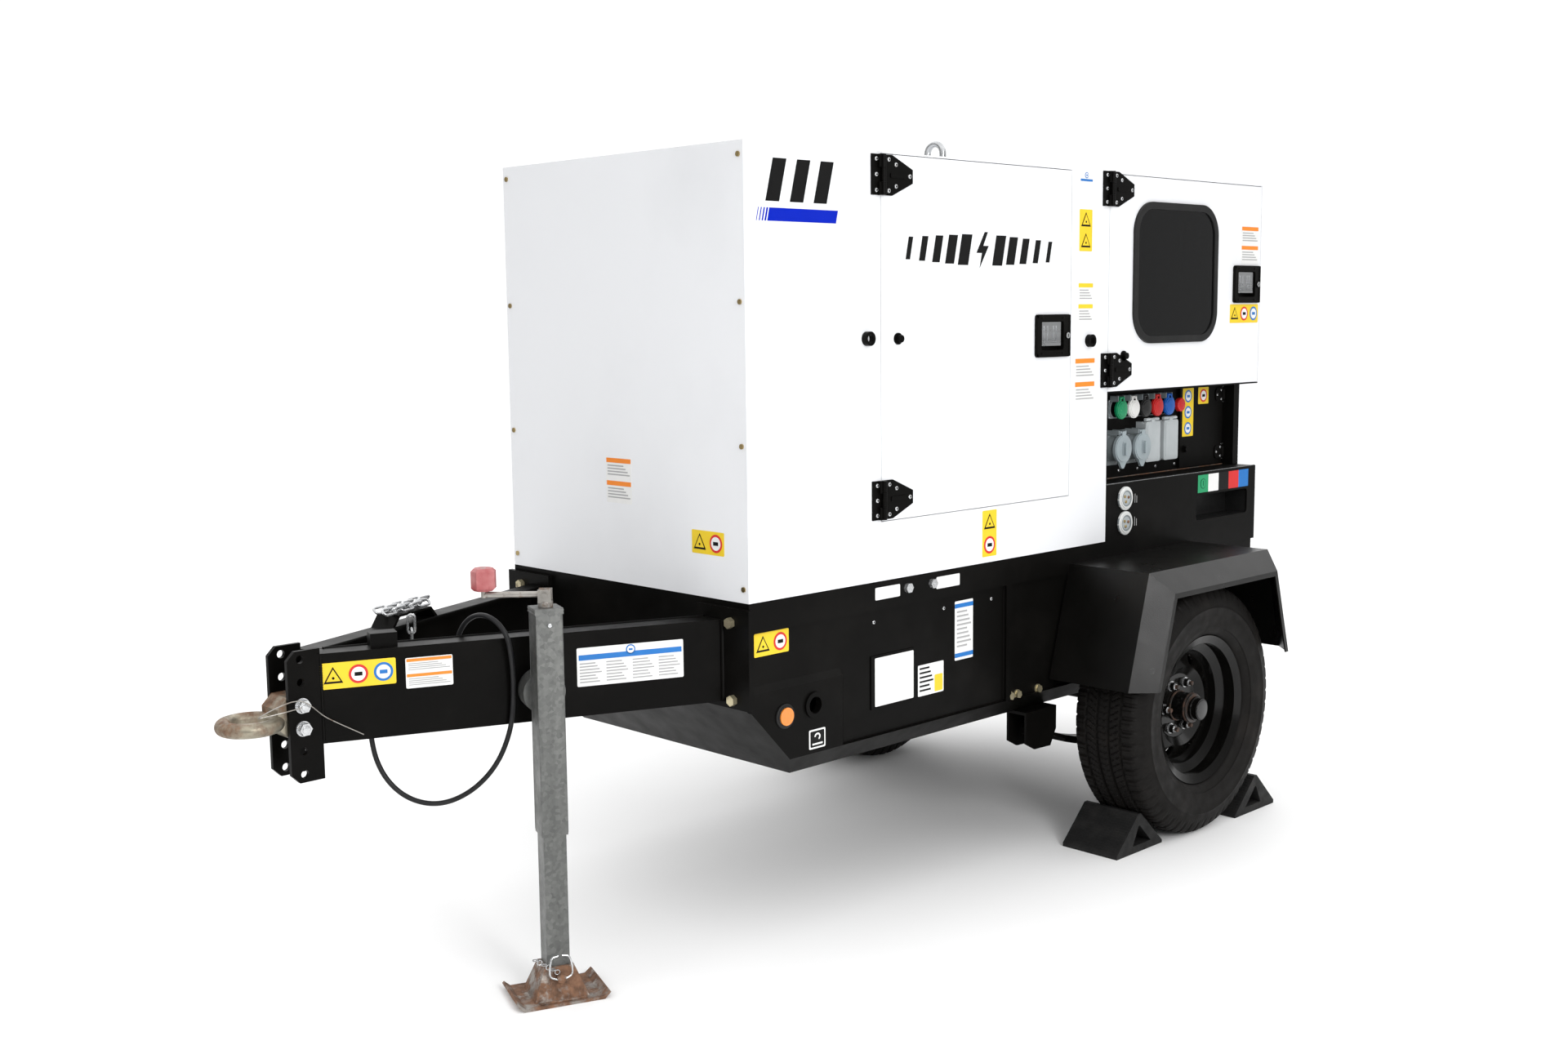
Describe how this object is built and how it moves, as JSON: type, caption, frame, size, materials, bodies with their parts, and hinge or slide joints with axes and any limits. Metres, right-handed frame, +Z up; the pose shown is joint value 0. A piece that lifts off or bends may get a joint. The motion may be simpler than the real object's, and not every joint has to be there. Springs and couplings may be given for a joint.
{
  "type": "towable diesel generator",
  "caption": "Enclosed diesel generating set on a road trailer chassis with A-frame drawbar, tow ring, screw jack, fenders, hinged doors and an outlet recess.",
  "frame": {"origin": "on the ground, under the middle of the whole machine", "axes": "-X is the towing direction (drawbar end), +X the rear, -Y the side with the control door and outlets, +Z up"},
  "size_m": [3.2171, 1.51, 1.9349],
  "materials": {
    "canopy_white": "satin",
    "bail_steel": "satin",
    "cabinet_black": "textured",
    "fitting_black": "satin",
    "paddle_steel": "satin",
    "seal_rubber": "matte",
    "window_glass": "gloss",
    "outlet_grey": "satin",
    "cover_green": "gloss",
    "cover_white": "gloss",
    "cover_black": "gloss",
    "cover_red": "gloss",
    "cover_blue": "gloss",
    "cover_grey": "satin",
    "cover_light_grey": "satin",
    "frame_black": "semi-gloss, lightly textured",
    "tank_plastic": "matte",
    "eye_steel": "zinc-yellow passivated, worn and rusty",
    "zinc_fastener": "yellow zinc",
    "galvanised": "hot-dip galvanised",
    "crank_steel": "dull zinc",
    "knob_red": "faded",
    "fender_black": "satin",
    "tyre_rubber": "matte",
    "wheel_black": "gloss",
    "chock_rubber": "matte",
    "lens_amber": "gloss",
    "chain_zinc": "zinc",
    "box_black": "matte",
    "cable_rubber": "satin",
    "engine_iron": "painted grey",
    "alternator_paint": "painted",
    "radiator_black": "painted black",
    "fan_plastic": "matte",
    "silencer_steel": "heat-dulled",
    "battery_case": "satin"
  },
  "bodies": {
    "chassis": {"front_panel": "canopy_white", "roof_panel": "canopy_white", "near_side_panel": "canopy_white", "far_side_panel": "canopy_white", "rear_panel": "canopy_white", "lifting_frame": "bail_steel", "outlet_cabinet": "cabinet_black", "door_frame_fittings": "fitting_black", "control_box": "cabinet_black", "outlet_bodies": "outlet_grey", "base_frame": "frame_black", "fuel_tank": "tank_plastic", "drawbar_near": "frame_black", "drawbar_far": "frame_black", "tow_eye": "eye_steel", "fasteners": "zinc_fastener", "axle": "frame_black", "fenders": "fender_black", "lights": "lens_amber", "safety_chains": "chain_zinc", "breakaway_switch": "box_black", "trailer_cable": "cable_rubber", "engine": "engine_iron", "alternator": "alternator_paint", "radiator": "radiator_black", "silencer": "silencer_steel", "battery": "battery_case"},
    "jack": {"jack_tube": "galvanised"},
    "jack_leg": {"jack_leg": "galvanised"},
    "jack_crank": {"jack_crank": "crank_steel"},
    "jack_knob": {"jack_knob": "knob_red"},
    "engine_door": {"door_engine": "canopy_white", "door_engine_fittings": "fitting_black"},
    "engine_latch": {"latch_paddle_engine": "paddle_steel"},
    "control_door": {"door_control": "canopy_white", "door_control_fittings": "fitting_black", "window_seal": "seal_rubber", "window_glass": "window_glass"},
    "control_latch": {"latch_paddle_control": "paddle_steel"},
    "service_door": {"door_service": "canopy_white", "door_service_fittings": "fitting_black"},
    "service_latch": {"latch_paddle_service": "paddle_steel"},
    "near_wheel": {"tyre_near": "tyre_rubber", "wheel_near": "wheel_black"},
    "far_wheel": {"tyre_far": "tyre_rubber", "wheel_far": "wheel_black"},
    "terminal_door": {"terminal_door": "cabinet_black"},
    "estop_button": {"estop_button": "cover_red"},
    "cooling_fan": {"cooling_fan": "fan_plastic"},
    "chock_front": {"chock_front": "chock_rubber"},
    "chock_rear": {"chock_rear": "chock_rubber"},
    "camlock_cover_green": {"camlock_cover_green": "cover_green"},
    "camlock_cover_white": {"camlock_cover_white": "cover_white"},
    "camlock_cover_black": {"camlock_cover_black": "cover_black"},
    "camlock_cover_red": {"camlock_cover_red": "cover_red"},
    "camlock_cover_blue": {"camlock_cover_blue": "cover_blue"},
    "twistlock_cover_front": {"twistlock_cover_front": "cover_grey"},
    "gfci_cover_front": {"gfci_cover_front": "cover_light_grey"},
    "twistlock_cover_rear": {"twistlock_cover_rear": "cover_grey"},
    "gfci_cover_rear": {"gfci_cover_rear": "cover_light_grey"}
  },
  "joints": [
    {"name": "engine_door_swing", "type": "hinge", "parent": "chassis", "child": "engine_door", "pos_m": [-0.132, -0.457, 0], "axis": [0, 0, -1], "range_deg": [0, 160]},
    {"name": "control_door_swing", "type": "hinge", "parent": "chassis", "child": "control_door", "pos_m": [0.793, -0.457, 0], "axis": [0, 0, -1], "range_deg": [0, 160]},
    {"name": "service_door_swing", "type": "hinge", "parent": "chassis", "child": "service_door", "pos_m": [-0.132, 0.457, 0], "axis": [0, 0, 1], "range_deg": [0, 160]},
    {"name": "engine_latch_pull", "type": "hinge", "parent": "engine_door", "child": "engine_latch", "pos_m": [0.536, -0.4455, 1.423], "axis": [-1, 0, 0], "range_deg": [0, 35]},
    {"name": "control_latch_pull", "type": "hinge", "parent": "control_door", "child": "control_latch", "pos_m": [1.508, -0.4455, 1.562], "axis": [-1, 0, 0], "range_deg": [0, 35]},
    {"name": "service_latch_pull", "type": "hinge", "parent": "service_door", "child": "service_latch", "pos_m": [0.536, 0.4455, 1.423], "axis": [1, 0, 0], "range_deg": [0, 35]},
    {"name": "jack_swing", "type": "hinge", "parent": "chassis", "child": "jack", "pos_m": [-0.98154, -0.2124, 0.66], "axis": [0.3639, 0.9314, 0], "range_deg": [0, 75]},
    {"name": "jack_leg_lift", "type": "slide", "parent": "jack", "child": "jack_leg", "axis": [0, 0, 1], "range_m": [0, 0.24]},
    {"name": "jack_crank_turn", "type": "hinge", "parent": "jack", "child": "jack_crank", "pos_m": [-1.01429, -0.29623, 0.862], "axis": [0, 0, 1], "range_deg": [0, 14400]},
    {"name": "jack_knob_spin", "type": "hinge", "parent": "jack_crank", "child": "jack_knob", "pos_m": [-1.10739, -0.20838, 0.91], "axis": [0, 0, 1], "continuous": true},
    {"name": "near_wheel_spin", "type": "hinge", "parent": "chassis", "child": "near_wheel", "pos_m": [0.9295, -0.5925, 0.35], "axis": [0, 1, 0], "continuous": true},
    {"name": "far_wheel_spin", "type": "hinge", "parent": "chassis", "child": "far_wheel", "pos_m": [0.9295, 0.5925, 0.35], "axis": [0, 1, 0], "continuous": true},
    {"name": "terminal_door_swing", "type": "hinge", "parent": "chassis", "child": "terminal_door", "pos_m": [1.548, -0.356, 1.101], "axis": [0, 0, 1], "range_deg": [0, 100]},
    {"name": "estop_press", "type": "slide", "parent": "chassis", "child": "estop_button", "axis": [0, 1, 0], "range_m": [0, 0.005], "stiffness_N_per_m": 400},
    {"name": "fan_spin", "type": "hinge", "parent": "chassis", "child": "cooling_fan", "pos_m": [-0.415, 0, 1.18], "axis": [1, 0, 0], "continuous": true},
    {"name": "chock_front_pull", "type": "slide", "parent": "chassis", "child": "chock_front", "axis": [-1, 0, 0], "range_m": [0, 0.3]},
    {"name": "chock_rear_pull", "type": "slide", "parent": "chassis", "child": "chock_rear", "axis": [1, 0, 0], "range_m": [0, 0.25]},
    {"name": "camlock_green_flip", "type": "hinge", "parent": "chassis", "child": "camlock_cover_green", "pos_m": [0.962, -0.377, 1.207], "axis": [-1, 0, 0], "range_deg": [0, 100]},
    {"name": "camlock_white_flip", "type": "hinge", "parent": "chassis", "child": "camlock_cover_white", "pos_m": [1.0235, -0.377, 1.207], "axis": [-1, 0, 0], "range_deg": [0, 100]},
    {"name": "camlock_black_flip", "type": "hinge", "parent": "chassis", "child": "camlock_cover_black", "pos_m": [1.085, -0.377, 1.207], "axis": [-1, 0, 0], "range_deg": [0, 100]},
    {"name": "camlock_red_flip", "type": "hinge", "parent": "chassis", "child": "camlock_cover_red", "pos_m": [1.1465, -0.377, 1.207], "axis": [-1, 0, 0], "range_deg": [0, 100]},
    {"name": "camlock_blue_flip", "type": "hinge", "parent": "chassis", "child": "camlock_cover_blue", "pos_m": [1.208, -0.377, 1.207], "axis": [-1, 0, 0], "range_deg": [0, 100]},
    {"name": "twistlock_front_flip", "type": "hinge", "parent": "chassis", "child": "twistlock_cover_front", "pos_m": [0.945, -0.3945, 1.109], "axis": [-1, 0, 0], "range_deg": [0, 95]},
    {"name": "twistlock_rear_flip", "type": "hinge", "parent": "chassis", "child": "twistlock_cover_rear", "pos_m": [1.043, -0.3945, 1.109], "axis": [-1, 0, 0], "range_deg": [0, 95]},
    {"name": "gfci_front_flip", "type": "hinge", "parent": "chassis", "child": "gfci_cover_front", "pos_m": [1.124, -0.3735, 1.137], "axis": [-1, 0, 0], "range_deg": [0, 95]},
    {"name": "gfci_rear_flip", "type": "hinge", "parent": "chassis", "child": "gfci_cover_rear", "pos_m": [1.219, -0.3735, 1.137], "axis": [-1, 0, 0], "range_deg": [0, 95]}
  ],
  "couplings": [
    {"joint": "jack_leg_lift", "follows": "jack_crank_turn", "m_per_rad": 0.00095493}
  ]
}
